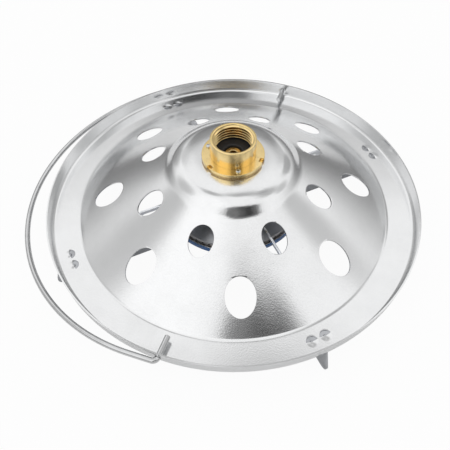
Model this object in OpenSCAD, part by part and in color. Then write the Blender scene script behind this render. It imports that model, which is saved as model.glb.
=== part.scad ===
// Bottle-top camping gas burner, standing on its pan supports with the gas inlet up.
// Z is up, the hub axis is Z, and Z = 0 is the plane of the pan rests.

/* [Dish] */
// Outside diameter of the dish at the top of its rim
dish_d = 220; // [200:1:260]
// Thickness of the dish sheet
sheet_t = 0.8; // [0.6:0.1:1.2]
// Width of the flat flange, from the foot of the cone to the rim
flange_w = 17.4; // [15:0.2:20]
// Height of the rim above the underside of the flange
rim_h = 9.4; // [8:0.2:14]
// How far the rim leans out over its height
rim_flare = 0.6; // [0:0.1:1.5]
// Slope of the cone in degrees
cone_angle = 29.8; // [26:0.2:34]
// Diameter of the crease between the cone and the hub
hub_d = 76.4; // [70:0.2:84]
// Height of the hub above its crease
hub_rise = 7.1; // [5:0.1:9]
// Width of the hub's level seat beyond the ring nut and the hexagon
hub_seat_out = 1.2; // [1:0.1:3]
// Radius of the bend at the edge of the seat
hub_seat_bend_r = 12; // [6:1:14]
// Fall of the hub from its seat to its shoulder
hub_fall = 1.6; // [1:0.1:2.4]
// Slope of the side of the hub in degrees
hub_side_angle = 48; // [40:1:60]
// Radius of the rounded shoulder of the hub
hub_edge_r = 11; // [5:0.5:11]
// Radius of the pressed corners at the crease, the cone foot and the rim
press_r = 1.8; // [1.2:0.1:3]

/* [Vents] */
// Vents in each of the two rings
vent_count = 8; // [6:1:10]
// Distance of the outer ring of vents in from the foot of the cone
outer_vent_in = 18.8; // [17:0.2:20]
// Width of an outer vent, across the cone
outer_vent_w = 16.6; // [12:0.2:18]
// Distance of the inner ring of vents out from the crease
inner_vent_out = 12.5; // [12:0.1:14]
// Width of an inner vent, across the cone
inner_vent_w = 13.6; // [10:0.2:14]
// Lean of the round punch from upright, which draws each vent out to an oval
vent_lean = 9.4; // [0:0.2:12]

/* [Pot supports] */
// Height of the underside of the flange above the pan rests
stand_h = 16.5; // [14:0.5:24]
// Thickness of a support, folded double from one sheet
fin_t = 1.2; // [1:0.1:2]
// How far the pan rests reach out past the edge of the rim
fin_proud = 3.4; // [-2:0.2:4]
// Radius of the outer corner of a pan rest
fin_corner_r = 4; // [2:0.5:8]
// Distance from the edge of the rim in to the outer end of a support under the flange
fin_inset = 1.6; // [1.2:0.1:3]
// Height of the level inner edge of a support above the pan rests
fin_top_h = 36.5; // [34:0.5:40]
// How far the finger of a support reaches in over the edge of the burner
finger_over = 3.2; // [2:0.2:5]
// Height of the finger
finger_h = 2.2; // [1.8:0.1:4]
// Rounding of the finger's tip
finger_round_r = 0.7; // [0.3:0.1:0.8]
// Height of a support beside the burner, up to the notch under its finger
rest_h = 18; // [10:0.5:22]
// Thickness of the tabs that hold a support under the flange
tab_t = 0.6; // [0.5:0.05:1]
// Length of a tab along the support
tab_l = 14; // [11:0.5:15]
// Width of a tab out from the middle of the support
tab_w = 8; // [7:0.2:12]
// Distance of the clinches in from the edge of the rim
clinch_in = 9; // [8.4:0.2:9.6]
// Distance of a clinch from the middle of the support
clinch_offset = 3.95; // [3.9:0.05:4.5]
// Diameter of the button that a clinch raises in the flange
clinch_button_d = 6.4; // [6:0.2:7.6]
// Height of a button above the flange
clinch_button_h = 1; // [0.9:0.1:1.4]
// Diameter of the flat top of a button
clinch_top_d = 2.8; // [2.6:0.2:4]
// Rounding of a button's top edge
clinch_round_r = 2; // [1:0.1:2.4]
// Sheet left over the peg in a button
clinch_skin = 0.5; // [0.3:0.05:0.6]
// Diameter of the peg that the punch raises from a tab
clinch_peg_d = 2.6; // [2.2:0.1:2.8]
// Diameter of the punch mark in a tab
clinch_punch_d = 1.6; // [1.2:0.1:1.6]

/* [Carrying handle] */
// Diameter of the handle wire
wire_d = 3; // [2:0.1:3.4]
// Height of the handle's pivots above the underside of the flange
pivot_h = 4.7; // [4.2:0.1:5.5]
// Length of the straight arms, from the pivots to the round of the handle
arm_l = 15; // [8:0.5:30]
// How far the handle hangs below level, in degrees
handle_sag = 4.5; // [0:0.5:6]
// Distance that the wire ends reach in from the rim
leg_in = 12.6; // [6:0.2:13]

/* [Gas inlet] */
// Nominal diameter of the inlet thread, cut plain
inlet_d = 21.8; // [20:0.1:22.4]
// Outside diameter of the brass collar
collar_d = 25.5; // [25:0.1:27]
// Height of the collar above the hub
collar_h = 13.6; // [12.5:0.1:18]
// Depth of the seal's face below the mouth
seal_depth = 9.7; // [7:0.1:10]
// Thickness of the rubber seal
seal_t = 2.2; // [1.6:0.1:2.6]
// Depth of the groove that the seal is pressed into, beyond the thread
seal_groove = 0.4; // [0.2:0.1:0.6]
// Diameter of the hole in the seal
seal_hole_d = 9.6; // [9.2:0.1:11]
// Diameter of the ring nut
ring_nut_d = 35; // [33:0.5:40]
// Thickness of the ring nut
ring_nut_t = 1.8; // [1.4:0.1:2.4]
// Thickness of the washer under the ring nut
washer_t = 0.9; // [0.6:0.1:1.2]
// Spanner notches and lock screws round the ring nut
notch_count = 3; // [2:1:4]
// Width of a spanner notch
notch_w = 3; // [2:0.1:4]
// Depth of a spanner notch
notch_depth = 2.2; // [1.4:0.1:2.4]
// Diameter of a lock screw
lock_screw_d = 2.8; // [2:0.1:2.8]
// Height of a lock screw above the ring nut
lock_screw_proud = 1.1; // [0.4:0.1:1.4]
// Rounding of a lock screw's domed end
lock_screw_round_r = 0.8; // [0.3:0.1:0.9]
// Distance from the collar out to the middle of a lock screw
lock_screw_out = 1.8; // [1.7:0.1:2.4]
// Width across the flats of the collar's hexagon, inside the dish
hex_w = 32; // [31:0.5:36]
// Thickness of the collar's hexagon
hex_t = 3; // [2:0.1:5]
// Diameter of the collar's spigot that carries the mixing tube
spigot_d = 18; // [16:0.2:19]
// Length of the spigot
spigot_l = 5; // [4:0.1:7]
// Diameter of the jet holder's shank
jet_shank_d = 8; // [7:0.1:8.2]
// Diameter of the jet holder's head
jet_head_d = 8.9; // [8.6:0.1:9]
// Height of the jet holder's head
jet_head_h = 1; // [0.6:0.1:1.4]
// Diameter of the gas passage
gas_passage_d = 4; // [3:0.1:4.4]
// Thread diameter of the jet
jet_thread_d = 5; // [4.6:0.1:6]
// Diameter of the jet's hole
jet_hole_d = 0.6; // [0.4:0.1:1]
// Diameter of the jet's own bore, behind its hole
jet_bore_d = 2.8; // [2:0.1:3.4]
// Depth of the jet's thread in its holder
jet_socket_l = 4; // [3:0.1:4.6]
// Width across the flats of the jet's hexagon
jet_hex_w = 6.4; // [6:0.1:8]
// Thickness of the jet's hexagon
jet_hex_t = 2; // [1.5:0.1:3]
// Length of the jet's tapered nose
jet_nose_l = 2; // [1:0.1:3]
// Diameter of the nose at the hexagon
jet_nose_d = 5.2; // [4.4:0.1:5.8]
// Diameter of the tip of the nose
jet_tip_d = 2.2; // [1.6:0.1:3]
// Chamfer on the turned edges
edge = 0.35; // [0.2:0.05:0.4]

/* [Burner] */
// Diameter of the burner over its crimped edge
burner_d = 83.4; // [80:0.2:84]
// Height of the burner's lip above the pan rests
lip_h = 21.4; // [19:0.2:22]
// Thickness of the burner bowl and of its cap
burner_t = 0.8; // [0.6:0.1:1]
// Height of the upright wall with the flame ports
port_wall_h = 3.4; // [3:0.1:4]
// Radius of the pressed corner over the port wall
port_wall_bend_r = 1; // [0.9:0.1:1.8]
// Rise of the bowl from the port wall to its neck
bowl_rise = 9; // [7:0.5:10]
// Diameter of the rounded shoulder of the bowl
bowl_shoulder_d = 56; // [44:1:64]
// Rise of the bowl from its shoulder to its neck
bowl_crown = 2.2; // [1:0.1:4]
// Radius of the shoulder's rounding
bowl_shoulder_r = 12; // [6:1:14]
// Height of the neck of the bowl
neck_h = 3.5; // [2.5:0.1:5]
// Flame ports round the burner
port_count = 64; // [40:1:72]
// Diameter of a flame port
port_d = 1.4; // [1:0.1:1.8]
// Gap between a flame port and the folded edge under it
port_edge = 0.2; // [0.1:0.1:0.4]
// How far the middle of the cap stands out of its edge
cap_crown = 1.6; // [0.5:0.1:3]
// Width of the level seat round the cap
cap_seat_w = 4; // [3:0.2:6]
// Width of the slope from the seat to the raised middle of the cap
cap_slope_w = 4.8; // [3:0.2:8]
// Width of the cap's edge folded over the lip
crimp_w = 1.4; // [1.2:0.1:1.8]
// Wall of the mixing tube
tube_wall = 1; // [0.8:0.1:1.4]
// How far the mixing tube reaches into the bowl, past its neck
tube_in = 1; // [0.5:0.1:2]
// Air holes in the mixing tube
air_hole_count = 4; // [2:1:6]
// Diameter of an air hole
air_hole_d = 5.6; // [4:0.2:6]

/* [Fits] */
// Gap between screwed or pushed-in round pieces
screw_gap = 0.05; // [0.02:0.01:0.1]
// Gap between the handle wire and its holes
pivot_gap = 0.35; // [0.1:0.05:0.5]
// Gap between the handle's arms and the rim
handle_gap = 0.4; // [0.3:0.1:1]
// Gap between a support and the cone above it
fin_gap = 0.3; // [0.2:0.1:1]
// Gap between a support and the burner
burner_gap = 3.3; // [2.5:0.1:4]
// Gap between the port wall and the folded edge of the cap
crimp_gap = 0.2; // [0.1:0.05:0.3]

/* [Hidden] */
$fn = 96;

// Steps along each pressed corner
bend_steps = 6;
// Extra length that takes a cut through both faces
cut = 1;

// Dish levels and radii
rim_r = dish_d / 2;
flange_z = stand_h + sheet_t;
rim_top = stand_h + rim_h;
foot_r = rim_r - flange_w;
crease_r = hub_d / 2;
crease_z = cone_top(crease_r);
hub_top = crease_z + hub_rise;
hub_under = hub_top - sheet_t;
seat_r = max(ring_nut_d, hex_w / cos(30)) / 2 + hub_seat_out;
shoulder_z = hub_top - hub_fall;
shoulder_r = crease_r - (hub_rise - hub_fall) / tan(hub_side_angle);
rim_foot_r = rim_r - sheet_t - rim_flare;
clinch_ring_r = rim_r - clinch_in;
peg_h = sheet_t + clinch_button_h - clinch_skin;
fin_reach = rim_r + fin_proud;

// Vent rings: the inner vents stand between the outer ones, and a support lies under every second
vent_step = 360 / vent_count;
outer_vent_turn = vent_step / 2;
outer_vent_r = foot_r - outer_vent_in;
inner_vent_r = crease_r + inner_vent_out;
support_angles = [45, 135, 225, 315];

// Handle, with its pivots across Y and its round towards -X
wire_r = wire_d / 2;
pivot_z = stand_h + pivot_h;
arm_y = rim_r + handle_gap + wire_r;
leg_end = rim_r - leg_in;
leg_bend_r = arm_y - rim_r + rim_flare;

// Inlet levels, from the mouth down
mouth_z = hub_top + collar_h;
seal_top = mouth_z - seal_depth;
seat_z = seal_top - seal_t;
washer_top = hub_top + washer_t;
ring_nut_top = washer_top + ring_nut_t;
hex_z = hub_under - hex_t;
spigot_z = hex_z - spigot_l;
inlet_r = inlet_d / 2;
seal_r = inlet_r + seal_groove;
collar_r = collar_d / 2;
ring_nut_r = ring_nut_d / 2;
spigot_r = spigot_d / 2;
passage_r = gas_passage_d / 2;
jet_shank_r = jet_shank_d / 2;
jet_thread_r = jet_thread_d / 2;
lock_ring_r = collar_r + lock_screw_out;
notch_step = 360 / notch_count;
seal_lip_r = seal_t / 2;

// Burner levels, from the lip up
crimp_r = burner_d / 2;
lip_top = lip_h + burner_t;
port_wall_r = crimp_r - crimp_w - crimp_gap;
port_wall_top = lip_top + port_wall_h;
neck_foot = port_wall_top + bowl_rise;
neck_top = neck_foot + neck_h;
tube_in_r = spigot_r + screw_gap;
tube_out_r = tube_in_r + tube_wall;
neck_r = tube_out_r + screw_gap + burner_t;
tube_end = neck_foot - tube_in;
jet_tip = spigot_z - jet_hex_t - jet_nose_l;
air_hole_z = (neck_top + jet_tip) / 2;
cap_z = lip_h - burner_t - cap_crown;
fin_inner_r = crimp_r + burner_gap;
finger_r = crimp_r - finger_over;
finger_under = fin_top_h - finger_h;

// Height of the cone's upper face at a radius
function cone_top(r) = flange_z + (foot_r - r) * tan(cone_angle);
// Drop from the cone's upper face to a support under it
fin_drop = (sheet_t + fin_gap) / cos(cone_angle);
// Radius at which the top of a support reaches a height
function fin_edge_r(z) = foot_r - (z + fin_drop - flange_z) / tan(cone_angle);

function left(v) = [-v[1], v[0]];
function heading(a, b) = (b - a) / norm(b - a);
function turned(v, a) = [v[0] * cos(a) - v[1] * sin(a), v[0] * sin(a) + v[1] * cos(a)];
function place(p) = [p[0], p[1]];

// The corner p between a and b, rounded to radius r
function rounded(a, p, b, r) =
    let (u = heading(a, p), v = heading(p, b), turn = sign(cross(u, v)), half = acos(u * v) / 2)
    r <= 0 || turn == 0 ? [p] :
    let (start = p - u * r * tan(half), centre = start + left(u) * turn * r)
    [for (k = [0:bend_steps]) centre + turned(start - centre, turn * 2 * half * k / bend_steps)];

// Corner i of an open path of [x, y, radius] points, moved d to the left
function moved(path, i, d) =
    let (last = len(path) - 1,
         u = heading(place(path[max(i - 1, 0)]), place(path[max(i, 1)])),
         v = heading(place(path[min(i, last - 1)]), place(path[min(i + 1, last)])),
         a = left(u), b = left(v))
    place(path[i]) + d * (a + b) / (1 + a * b);

// Corner i rounded, where a move to the inside of the turn takes d off the radius
function moved_bend(path, i, d) =
    let (last = len(path) - 1)
    i == 0 || i == last || path[i][2] == 0 ? [moved(path, i, d)] :
    let (a = moved(path, i - 1, d), p = moved(path, i, d), b = moved(path, i + 1, d))
    rounded(a, p, b, path[i][2] - sign(cross(p - a, b - p)) * d);

function trace(path, d) = [for (i = [0:len(path) - 1]) each moved_bend(path, i, d)];
function reversed(list) = [for (i = [len(list) - 1:-1:0]) list[i]];

// Section of a sheet whose one face follows the path, with thickness t to its left
module sheet_section(path, t) {
    polygon(concat(trace(path, 0), reversed(trace(path, t))));
}

// Closed outline of [x, y, radius] points
module outline(points) {
    n = len(points);
    polygon([for (i = [0:n - 1])
        let (before = points[(i + n - 1) % n], after = points[(i + 1) % n])
        each rounded(place(before), place(points[i]), place(after), points[i][2])]);
}

module ring_of(count, turn = 0) {
    for (k = [0:count - 1]) rotate([0, 0, turn + 360 * k / count]) children();
}

module both_sides() {
    children();
    mirror([0, 1, 0]) children();
}

// Upper face of the dish, from the hub hole out to the rim
dish_path = [
    [collar_r + screw_gap, hub_top, 0],
    [seat_r, hub_top, hub_seat_bend_r],
    [shoulder_r, shoulder_z, hub_edge_r],
    [crease_r, crease_z, press_r],
    [foot_r, flange_z, press_r],
    [rim_foot_r, flange_z, press_r],
    [rim_r - sheet_t, rim_top, 0]
];

module vent(r, w) {
    translate([r, 0, cone_top(r)]) rotate([0, -vent_lean, 0])
        cylinder(d = w, h = 3 * w, center = true);
}

// Two places on the flange for each support
module clinch_places() {
    for (side = [-1, 1]) translate([clinch_ring_r, side * clinch_offset, 0]) children();
}

// A round button of the flange, raised over a clinch
module button() {
    translate([0, 0, flange_z - sheet_t / 2]) rotate_extrude() outline([
        [0, 0, 0],
        [clinch_button_d / 2, 0, 0],
        [clinch_button_d / 2, sheet_t / 2, 0],
        [clinch_top_d / 2, sheet_t / 2 + clinch_button_h, clinch_round_r],
        [0, sheet_t / 2 + clinch_button_h, 0]
    ]);
}

module dish() {
    color([0.80, 0.81, 0.82]) difference() {
        union() {
            rotate_extrude() sheet_section(dish_path, -sheet_t);
            for (a = support_angles) rotate([0, 0, a]) clinch_places() button();
        }
        ring_of(vent_count, outer_vent_turn) vent(outer_vent_r, outer_vent_w);
        ring_of(vent_count) vent(inner_vent_r, inner_vent_w);
        for (a = support_angles) rotate([0, 0, a]) clinch_places()
            translate([0, 0, stand_h - cut])
                cylinder(d = clinch_peg_d + 2 * screw_gap, h = cut + peg_h + screw_gap);
        both_sides() translate([0, leg_end, pivot_z]) rotate([-90, 0, 0])
            cylinder(r = wire_r + pivot_gap, h = leg_in + cut);
    }
}

// Radius of the notch round the burner, under the inner end of the slope
notch_r = fin_edge_r(fin_top_h);

// Side view of a support, as [radius, height, corner radius]
fin_points = [
    [fin_inner_r, 0, press_r],
    [fin_reach, 0, fin_corner_r],
    [rim_r - fin_inset, stand_h, 0],
    [fin_edge_r(stand_h), stand_h, 0],
    [notch_r, fin_top_h, 0],
    [finger_r, fin_top_h, finger_round_r],
    [finger_r, finger_under, finger_round_r],
    [notch_r, finger_under, press_r],
    [notch_r, rest_h, press_r],
    [fin_inner_r, rest_h, press_r]
];

// A peg of the tab's own metal, pressed up into the flange by a punch
module clinch() {
    translate([0, 0, stand_h - tab_t / 2]) cylinder(d = clinch_peg_d, h = peg_h + tab_t / 2);
}

module tab() {
    inner = clinch_ring_r - tab_l / 2;
    outer = clinch_ring_r + tab_l / 2;
    translate([0, 0, stand_h - tab_t]) linear_extrude(tab_t) outline([
        [inner, 0, 0],
        [outer, 0, 0],
        [outer, tab_w, press_r],
        [inner, tab_w, press_r]
    ]);
}

module pot_support(angle) {
    color([0.74, 0.75, 0.77]) rotate([0, 0, angle]) {
        rotate([90, 0, 0]) linear_extrude(fin_t, center = true) outline(fin_points);
        difference() {
            union() {
                both_sides() tab();
                clinch_places() clinch();
            }
            clinch_places() translate([0, 0, stand_h - tab_t - cut])
                cylinder(d = clinch_punch_d, h = cut + tab_t + peg_h - clinch_skin);
        }
    }
}

module wire_section(r) {
    translate([r, 0]) circle(wire_r, $fn = 32);
}

// The wire lies in its own plane, and hangs a little below level from its pivots
module carrying_handle() {
    color([0.72, 0.73, 0.74]) translate([0, 0, pivot_z]) rotate([0, -handle_sag, 0]) {
        translate([-arm_l, 0, 0]) rotate([0, 0, 90])
            rotate_extrude(angle = 180) wire_section(arm_y);
        both_sides() {
            translate([-arm_l, arm_y, 0]) rotate([0, 90, 0])
                cylinder(r = wire_r, h = arm_l - leg_bend_r, $fn = 32);
            translate([-leg_bend_r, arm_y - leg_bend_r, 0])
                rotate_extrude(angle = 90) wire_section(leg_bend_r);
            translate([0, leg_end, 0]) rotate([-90, 0, 0])
                cylinder(r = wire_r, h = arm_y - leg_bend_r - leg_end, $fn = 32);
        }
    }
}

brass = [0.83, 0.66, 0.30];

// Turned collar: the mouth, the seat for the seal, and the spigot for the mixing tube
module inlet_collar() {
    stem_r = jet_shank_r + screw_gap;
    color(brass) {
        rotate_extrude() polygon([
            [stem_r, spigot_z],
            [spigot_r, spigot_z],
            [spigot_r, hub_under],
            [collar_r, hub_under],
            [collar_r, mouth_z - edge],
            [collar_r - edge, mouth_z],
            [inlet_r + edge, mouth_z],
            [inlet_r, mouth_z - edge],
            [inlet_r, seal_top],
            [seal_r, seal_top],
            [seal_r, seat_z],
            [stem_r, seat_z]
        ]);
        difference() {
            translate([0, 0, hex_z]) cylinder(d = hex_w / cos(30), h = hex_t, $fn = 6);
            translate([0, 0, hex_z - cut]) cylinder(r = spigot_r, h = hex_t + 2 * cut);
        }
    }
}

module collar_washer() {
    inner = collar_r + screw_gap;
    outer = ring_nut_r - edge / 2;
    color(brass) rotate_extrude() polygon([
        [inner, hub_top],
        [outer, hub_top],
        [outer, washer_top - edge],
        [outer - edge, washer_top],
        [inner, washer_top]
    ]);
}

module lock_screw_places() {
    ring_of(notch_count, notch_step / 2) translate([lock_ring_r, 0, 0]) children();
}

// Nut with spanner notches, drilled through for the lock screws
module ring_nut() {
    inner = collar_r + screw_gap;
    color(brass) difference() {
        rotate_extrude() polygon([
            [inner, washer_top],
            [ring_nut_r - edge, washer_top],
            [ring_nut_r, washer_top + edge],
            [ring_nut_r, ring_nut_top - edge],
            [ring_nut_r - edge, ring_nut_top],
            [inner, ring_nut_top]
        ]);
        ring_of(notch_count) translate([ring_nut_r - notch_depth, -notch_w / 2, washer_top - cut])
            cube([notch_depth + cut, notch_w, ring_nut_t + 2 * cut]);
        lock_screw_places() translate([0, 0, washer_top - cut])
            cylinder(d = lock_screw_d + 2 * screw_gap, h = ring_nut_t + 2 * cut, $fn = 24);
    }
}

// Grub screws that bear on the washer and keep the ring nut tight
module lock_screws() {
    r = lock_screw_d / 2;
    top = ring_nut_top + lock_screw_proud;
    color([0.78, 0.80, 0.80]) lock_screw_places() rotate_extrude($fn = 24) outline([
        [0, washer_top, 0],
        [r, washer_top, 0],
        [r, top, lock_screw_round_r],
        [0, top, 0]
    ]);
}

module inlet_seal() {
    inner = seal_hole_d / 2;
    outer = seal_r - screw_gap;
    color([0.07, 0.07, 0.075]) rotate_extrude() union() {
        translate([inner + seal_lip_r, seat_z]) square([outer - inner - seal_lip_r, seal_t]);
        translate([inner + seal_lip_r, seat_z + seal_lip_r]) circle(seal_lip_r, $fn = 32);
    }
}

// Headed sleeve that holds the jet on the axis of the inlet
module jet_holder() {
    socket_top = spigot_z + jet_socket_l;
    color(brass) rotate_extrude() polygon([
        [jet_thread_r + screw_gap, spigot_z],
        [jet_shank_r, spigot_z],
        [jet_shank_r, seat_z],
        [jet_head_d / 2, seat_z],
        [jet_head_d / 2, seat_z + jet_head_h - edge],
        [jet_head_d / 2 - edge, seat_z + jet_head_h],
        [passage_r, seat_z + jet_head_h],
        [passage_r, socket_top],
        [jet_thread_r + screw_gap, socket_top]
    ]);
}

// Screwed jet with a hexagon, a tapered nose and its fine hole
module gas_jet() {
    jet_top = spigot_z + jet_socket_l - edge;
    nose_z = jet_tip + jet_nose_l;
    color(brass) difference() {
        union() {
            translate([0, 0, spigot_z]) cylinder(r = jet_thread_r, h = jet_top - spigot_z);
            translate([0, 0, nose_z]) cylinder(d = jet_hex_w / cos(30), h = jet_hex_t, $fn = 6);
            translate([0, 0, jet_tip]) cylinder(d1 = jet_tip_d, d2 = jet_nose_d, h = jet_nose_l);
        }
        translate([0, 0, jet_tip - cut]) cylinder(d = jet_hole_d, h = jet_top - jet_tip + 2 * cut, $fn = 24);
        translate([0, 0, nose_z]) cylinder(d = jet_bore_d, h = jet_top - nose_z + cut, $fn = 24);
    }
}

module mixing_tube() {
    color([0.45, 0.46, 0.48]) difference() {
        translate([0, 0, tube_end]) cylinder(r = tube_out_r, h = hex_z - tube_end);
        translate([0, 0, tube_end - cut]) cylinder(r = tube_in_r, h = hex_z - tube_end + 2 * cut);
        ring_of(air_hole_count) translate([0, 0, air_hole_z]) rotate([0, 90, 0])
            cylinder(d = air_hole_d, h = tube_out_r + cut, $fn = 32);
    }
}

// Outer face of the bowl, from its neck out to its lip
bowl_path = [
    [neck_r, neck_top, 0],
    [neck_r, neck_foot, press_r],
    [bowl_shoulder_d / 2, neck_foot - bowl_crown, bowl_shoulder_r],
    [port_wall_r, port_wall_top, port_wall_bend_r],
    [port_wall_r, lip_top, 0],
    [crimp_r - burner_t - screw_gap, lip_top, 0]
];

module burner_bowl() {
    port_z = lip_top + burner_t + port_edge + port_d / 2;
    color([0.30, 0.31, 0.33]) difference() {
        rotate_extrude() sheet_section(bowl_path, -burner_t);
        ring_of(port_count) translate([port_wall_r - burner_t - cut, 0, port_z]) rotate([0, 90, 0])
            cylinder(d = port_d, h = burner_t + 2 * cut, $fn = 16);
    }
}

// Outer face of the cap, from its middle out to the edge that is folded over the lip
cap_path = [
    [0, cap_z, 0],
    [crimp_r - cap_seat_w - cap_slope_w, cap_z, press_r],
    [crimp_r - cap_seat_w, lip_h - burner_t, press_r],
    [crimp_r, lip_h - burner_t, 0],
    [crimp_r, lip_top + burner_t, 0],
    [crimp_r - crimp_w, lip_top + burner_t, 0]
];

module burner_cap() {
    color([0.05, 0.22, 0.62]) rotate_extrude() sheet_section(cap_path, burner_t);
}

dish();
pot_support(support_angles[0]);  // pot_support_1
pot_support(support_angles[1]);  // pot_support_2
pot_support(support_angles[2]);  // pot_support_3
pot_support(support_angles[3]);  // pot_support_4
carrying_handle();
inlet_collar();
collar_washer();
ring_nut();
lock_screws();
inlet_seal();
jet_holder();
gas_jet();
mixing_tube();
burner_bowl();
burner_cap();
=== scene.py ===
"""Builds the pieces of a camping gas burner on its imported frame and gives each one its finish."""
from math import ceil, cos, pi, radians, sin, tan

import bmesh
import bpy
from bpy.props import FloatProperty, FloatVectorProperty, IntProperty, PointerProperty
from bpy.types import Operator, Panel, PropertyGroup
from mathutils import Matrix, Quaternion, Vector


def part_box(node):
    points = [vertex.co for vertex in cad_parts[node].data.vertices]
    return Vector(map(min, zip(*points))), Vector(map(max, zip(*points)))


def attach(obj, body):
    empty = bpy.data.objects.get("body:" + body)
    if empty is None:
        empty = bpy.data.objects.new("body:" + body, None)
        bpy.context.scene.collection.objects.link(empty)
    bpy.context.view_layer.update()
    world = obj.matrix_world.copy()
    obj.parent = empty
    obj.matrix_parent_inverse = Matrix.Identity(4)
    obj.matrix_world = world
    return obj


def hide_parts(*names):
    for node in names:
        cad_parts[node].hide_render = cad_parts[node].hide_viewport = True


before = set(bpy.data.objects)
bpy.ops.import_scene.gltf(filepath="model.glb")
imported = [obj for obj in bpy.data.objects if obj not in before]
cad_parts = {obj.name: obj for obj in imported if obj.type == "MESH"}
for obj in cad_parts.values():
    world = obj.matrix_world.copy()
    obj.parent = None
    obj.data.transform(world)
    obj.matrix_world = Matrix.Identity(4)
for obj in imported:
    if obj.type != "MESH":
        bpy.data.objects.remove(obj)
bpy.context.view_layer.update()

bl_info = {
    "name": "Camping gas burner",
    "version": (1, 0, 0),
    "blender": (4, 5, 0),
    "location": "View3D > Sidebar > Burner",
    "description": "Builds the pieces of a camping gas burner on its packed frame and gives them their finish",
    "category": "Object",
}

# One millimetre, in metres
MM = 0.001
# Points nearer to each other than this are one point
MERGE = 0.002 * MM
# Steps along a rounded corner, and the longest straight step along a turned profile
ROUND_STEPS = 6
PROFILE_STEP = 2.5 * MM
# Steps round the dish, which its cells of vents, buttons and pivots all divide
DISH_STEPS = 320
# Steps round the small turned pieces
TURNED_STEPS = 192
# Cuts between a hole and the sides of its cell
SPOKE_CUTS = 6
# Cuts along each side of a hexagon
HEX_CUTS = 7
# Rows, and columns where the dish does not set them, of a cell with a vent, a button, a pivot hole, a port,
# an air hole or a peg
INNER_VENT_ROWS = 27
OUTER_VENT_ROWS = 24
BUTTON_COLUMNS = 4
BUTTON_ROWS = 16
PIVOT_COLUMNS = 8
PIVOT_ROWS = 8
PORT_COLUMNS = 4
PORT_ROWS = 4
AIR_COLUMNS = 24
AIR_ROWS = 24
TAB_COLUMNS = 12
TAB_ROWS = 8
# Steps up the dome of a button
DOME_STEPS = 12
# Steps round the wire, along its leg bends and along half of its round
WIRE_STEPS = 28
BEND_STEPS = 10
HANDLE_STEPS = 90
# Steps round a lock screw, in one turn of the thread, round the ring nut and across half a notch
PIN_STEPS = 32
THREAD_STEPS = 96
NUT_STEPS = 219
NOTCH_STEPS = 3
# Angle at which the thread starts
THREAD_START = radians(181)
# Half of the thread's foot, as a share of its pitch, and its end below the mouth, as a share of the mouth's
# rounding
THREAD_FOOT = 0.42
THREAD_END = 0.75
# Rounding of a lock screw's end, as a share of its radius
PIN_ROUND = 0.4
# Bends by more than these angles are softened, and shaded as sharp edges
SOFTEN_ABOVE = radians(50)
SHARP_ABOVE = radians(38)
# Zones of the finishes, as pairs of radii or heights between which they fade
INLET_RUB_R = (18 * MM, 25 * MM)
# The fingers' zone holds the supports' painted highlight
FINGER_HIGHLIGHT_Z = (29 * MM, 32 * MM)
BORE_R = (10.92 * MM, 11 * MM)
GROOVE_R = (10.2 * MM, 10.7 * MM)
# The passage and seam zones hold painted shade on the brass
PASSAGE_SHADE_R = (4.5 * MM, 5 * MM)
SEAM_SHADE_R = (16.6 * MM, 17 * MM)
HEAT_Z = (25.5 * MM, 28.5 * MM)
BARE_Z = (22.85 * MM, 23.05 * MM)
# Width of the camera's sensor, in millimetres
SENSOR_MM = 36
# Steps round the floor, and how far it is plain white to the camera and in reflections
FLOOR_STEPS = 96
FLOOR_WHITE = 0.95
FLOOR_GLOSS = 0.2
# Light of the tent at the horizon, what it gains above it, and the height of a unit ray at which it is full
TENT_LOW = 0.2
TENT_GAIN = 0.82
TENT_FULL = 0.6
# Soft panels and gaps of the tent: azimuth, elevation, inner and outer radius in degrees, gain
TENT_PATCHES = (
    (-60, 46, 14, 17.5, -0.84),
    (-43, 47, 10, 14, -0.62),
    (-34, 47, 7, 10.5, -0.8),
    (-84, 39, 5, 11, -0.5),
    (-57, 37, 6, 13, 0.9),
    (-40, 37, 5, 11, -0.4),
    (-75, 29, 8, 14, -0.55),
    (-12, 20, 6, 14, -0.4),
    (-172, 40, 5, 20, -0.4),
    (30, 40, 4, 14, -0.4),
    (29, 60, 5, 13, -0.5),
    (67, 33, 9, 13, -0.55),
    (148, 22, 5, 13, -0.4),
    (110, 26, 13, 20, -0.68),
    (88, 36, 4, 11, -0.4),
    (133, 36, 4, 11, -0.33),
    (95, 73, 3, 11, -0.55),
    (153, 71, 3, 10, -0.55),
    (51, 69, 3, 10, -0.5),
    (-125, 55, 10, 30, 0.12),
)
# The foot and the way of the hub axis, and the turns of the supports about it
ORIGIN = Vector((0, 0, 0))
AXIS = Vector((0, 0, 1))
SUPPORT_ANGLES = [radians(a) for a in (45, 135, 225, 315)]


def foot(node):
    """Height of a node's lowest point."""
    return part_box(node)[0].z


def top(node):
    """Height of a node's highest point."""
    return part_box(node)[1].z


def reach(node):
    """Radius of a round node."""
    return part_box(node)[1].y


def measured(name, metres, description):
    """A length that is taken from the frame."""
    return FloatProperty(name=name, description=description, default=metres, unit="LENGTH", precision=5)


def length(name, millimetres, description):
    return measured(name, millimetres * MM, description)


def angle(name, degrees, description):
    return FloatProperty(name=name, description=description, default=radians(degrees), subtype="ANGLE")


def count(name, number, description):
    return IntProperty(name=name, description=description, default=number, min=1)


def amount(name, number, description):
    return FloatProperty(name=name, description=description, default=number, precision=3)


def colour(name, rgb, description):
    return FloatVectorProperty(name=name, description=description, default=(*rgb, 1), size=4, subtype="COLOR",
                               min=0, max=1)


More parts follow.
